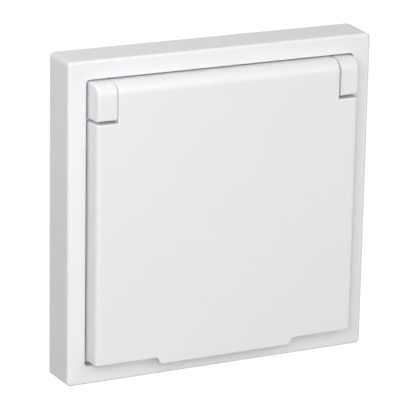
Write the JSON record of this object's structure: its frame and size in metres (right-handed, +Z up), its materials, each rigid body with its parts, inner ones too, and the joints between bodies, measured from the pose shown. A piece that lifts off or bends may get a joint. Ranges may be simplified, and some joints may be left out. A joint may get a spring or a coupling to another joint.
{
  "type": "weatherproof flush socket",
  "caption": "Flush-mounted splash-proof earthed wall socket in a square white frame, with a sprung hinged lid over a round plug well and spreading claws behind.",
  "frame": {"origin": "centre of the wall plane, at the back of the support ring, midway between the wall screw slots", "axes": "+X right, +Y into the wall, +Z up; the lid faces -Y"},
  "size_m": [0.081, 0.0467, 0.081],
  "materials": {
    "white_cover": "glossy white moulded thermoplastic",
    "white_lid": "glossy white moulded thermoplastic",
    "white_plate": "glossy white moulded thermoplastic",
    "grey_rubber": "matte grey sealing rubber",
    "bright_steel": "bright drawn steel",
    "spring_steel": "hard spring steel",
    "zinc_sheet": "zinc-plated pressed steel sheet",
    "screw_steel": "zinc-plated screw steel",
    "pale_base": "matte pale grey moulded thermoset",
    "dark_base": "matte dark grey moulded plastic",
    "spring_brass": "rolled spring brass",
    "lever_plastic": "matte orange moulded plastic"
  },
  "bodies": {
    "housing": {"cover_frame": "white_cover", "wall_gasket": "grey_rubber", "plate_seal": "grey_rubber", "hinge_pin": "bright_steel", "lid_spring": "spring_steel", "centre_plate": "white_plate", "support_ring": "zinc_sheet", "ring_rivets": "bright_steel", "socket_base": "pale_base", "base_rear_cover": "dark_base", "earth_bow": "spring_brass", "screw_bush": "spring_brass", "centre_screw": "screw_steel", "clamp_spring_left": "spring_steel", "clamp_spring_middle": "spring_steel", "clamp_spring_right": "spring_steel", "contact_left": "spring_brass", "contact_right": "spring_brass"},
    "lid": {"lid": "white_lid", "lid_seal": "grey_rubber"},
    "release_lever_left": {"release_lever_left": "lever_plastic"},
    "release_lever_middle": {"release_lever_middle": "lever_plastic"},
    "release_lever_right": {"release_lever_right": "lever_plastic"},
    "claw_left": {"claw_left": "zinc_sheet"},
    "claw_nut_left": {"claw_nut_left": "bright_steel"},
    "claw_screw_left": {"claw_screw_left": "screw_steel"},
    "claw_right": {"claw_right": "zinc_sheet"},
    "claw_nut_right": {"claw_nut_right": "bright_steel"},
    "claw_screw_right": {"claw_screw_right": "screw_steel"}
  },
  "joints": [
    {"name": "lid_hinge", "type": "hinge", "parent": "housing", "child": "lid", "pos_m": [0, -0.0123, 0.0324], "axis": [-1, 0, 0], "range_deg": [0, 110], "stiffness_Nm_per_rad": 0.004, "springref_deg": -91.67, "deforming": ["lid_spring"]},
    {"name": "release_lever_left_slide", "type": "slide", "parent": "housing", "child": "release_lever_left", "axis": [0, -1, 0], "range_m": [0, 0.0015], "stiffness_N_per_m": 1500, "springref_m": -0.001, "deforming": ["clamp_spring_left"]},
    {"name": "release_lever_middle_slide", "type": "slide", "parent": "housing", "child": "release_lever_middle", "axis": [0, -1, 0], "range_m": [0, 0.0015], "stiffness_N_per_m": 1500, "springref_m": -0.001, "deforming": ["clamp_spring_middle"]},
    {"name": "release_lever_right_slide", "type": "slide", "parent": "housing", "child": "release_lever_right", "axis": [0, -1, 0], "range_m": [0, 0.0015], "stiffness_N_per_m": 1500, "springref_m": -0.001, "deforming": ["clamp_spring_right"]},
    {"name": "claw_screw_left_turn", "type": "hinge", "parent": "housing", "child": "claw_screw_left", "pos_m": [-0.0238, 0, -0.006], "axis": [0, 1, 0], "range_deg": [0, 4321]},
    {"name": "claw_nut_left_slide", "type": "slide", "parent": "housing", "child": "claw_nut_left", "axis": [0, -1, 0], "range_m": [0, 0.006]},
    {"name": "claw_left_slide", "type": "slide", "parent": "housing", "child": "claw_left", "axis": [-0.4104, -0.9119, 0], "range_m": [0, 0.0066]},
    {"name": "claw_screw_right_turn", "type": "hinge", "parent": "housing", "child": "claw_screw_right", "pos_m": [0.0238, 0, 0.006], "axis": [0, 1, 0], "range_deg": [0, 4321]},
    {"name": "claw_nut_right_slide", "type": "slide", "parent": "housing", "child": "claw_nut_right", "axis": [0, -1, 0], "range_m": [0, 0.006]},
    {"name": "claw_right_slide", "type": "slide", "parent": "housing", "child": "claw_right", "axis": [0.4104, -0.9119, 0], "range_m": [0, 0.0066]}
  ],
  "couplings": [
    {"joint": "claw_screw_left_turn", "follows": "claw_nut_left_slide", "rad_per_m": 12566},
    {"joint": "claw_left_slide", "follows": "claw_nut_left_slide", "ratio": 1.0966},
    {"joint": "claw_screw_right_turn", "follows": "claw_nut_right_slide", "rad_per_m": 12566},
    {"joint": "claw_right_slide", "follows": "claw_nut_right_slide", "ratio": 1.0966}
  ]
}
